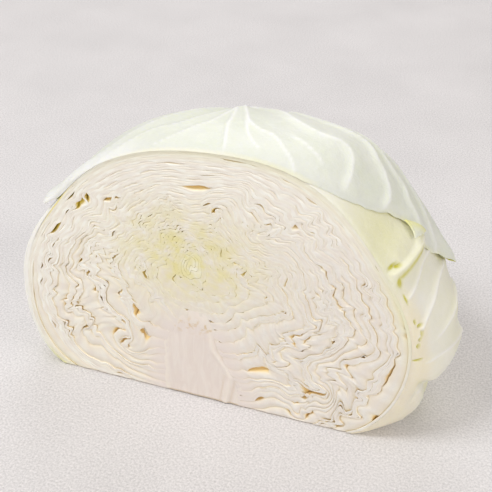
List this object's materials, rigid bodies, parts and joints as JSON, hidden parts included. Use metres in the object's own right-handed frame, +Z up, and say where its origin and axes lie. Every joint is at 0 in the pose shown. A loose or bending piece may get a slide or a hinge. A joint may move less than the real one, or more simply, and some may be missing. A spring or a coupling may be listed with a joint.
{
  "type": "green cabbage half",
  "caption": "Half of a white-hearted green cabbage, cut down through its stem, with folded packed leaves on the cut face and loose wrapper leaves outside.",
  "frame": {"origin": "middle of the sawn foot of the stem, on the surface that the half stands on", "axes": "+Z up, away from the surface; -Y is the way the cut face looks; +X is to the right for someone who looks at the cut face"},
  "size_m": [0.2187, 0.1004, 0.1489],
  "materials": {
    "stem_flesh": "moist, pale and fibrous cut stem",
    "heart_leaf": "yellow-ivory crisp leaf, satin",
    "head_leaf": "ivory crisp leaf, satin",
    "outer_leaf_green": "pale yellow-green waxy leaf with raised veins",
    "outer_leaf_pale": "near-white waxy leaf with raised veins and a faint green tint"
  },
  "bodies": {
    "root": {"stem": "stem_flesh", "heart_bud": "heart_leaf", "head_leaf_01": "heart_leaf", "head_leaf_02": "heart_leaf", "head_leaf_03": "heart_leaf", "head_leaf_04": "heart_leaf", "head_leaf_05": "heart_leaf", "head_leaf_06": "head_leaf", "head_leaf_07": "head_leaf", "head_leaf_08": "head_leaf", "head_leaf_09": "head_leaf", "head_leaf_10": "head_leaf", "head_leaf_11": "head_leaf", "head_leaf_12": "head_leaf", "head_leaf_13": "head_leaf", "outer_leaf_right": "outer_leaf_green", "outer_leaf_left": "outer_leaf_green", "outer_leaf_top": "outer_leaf_pale"}
  },
  "joints": []
}
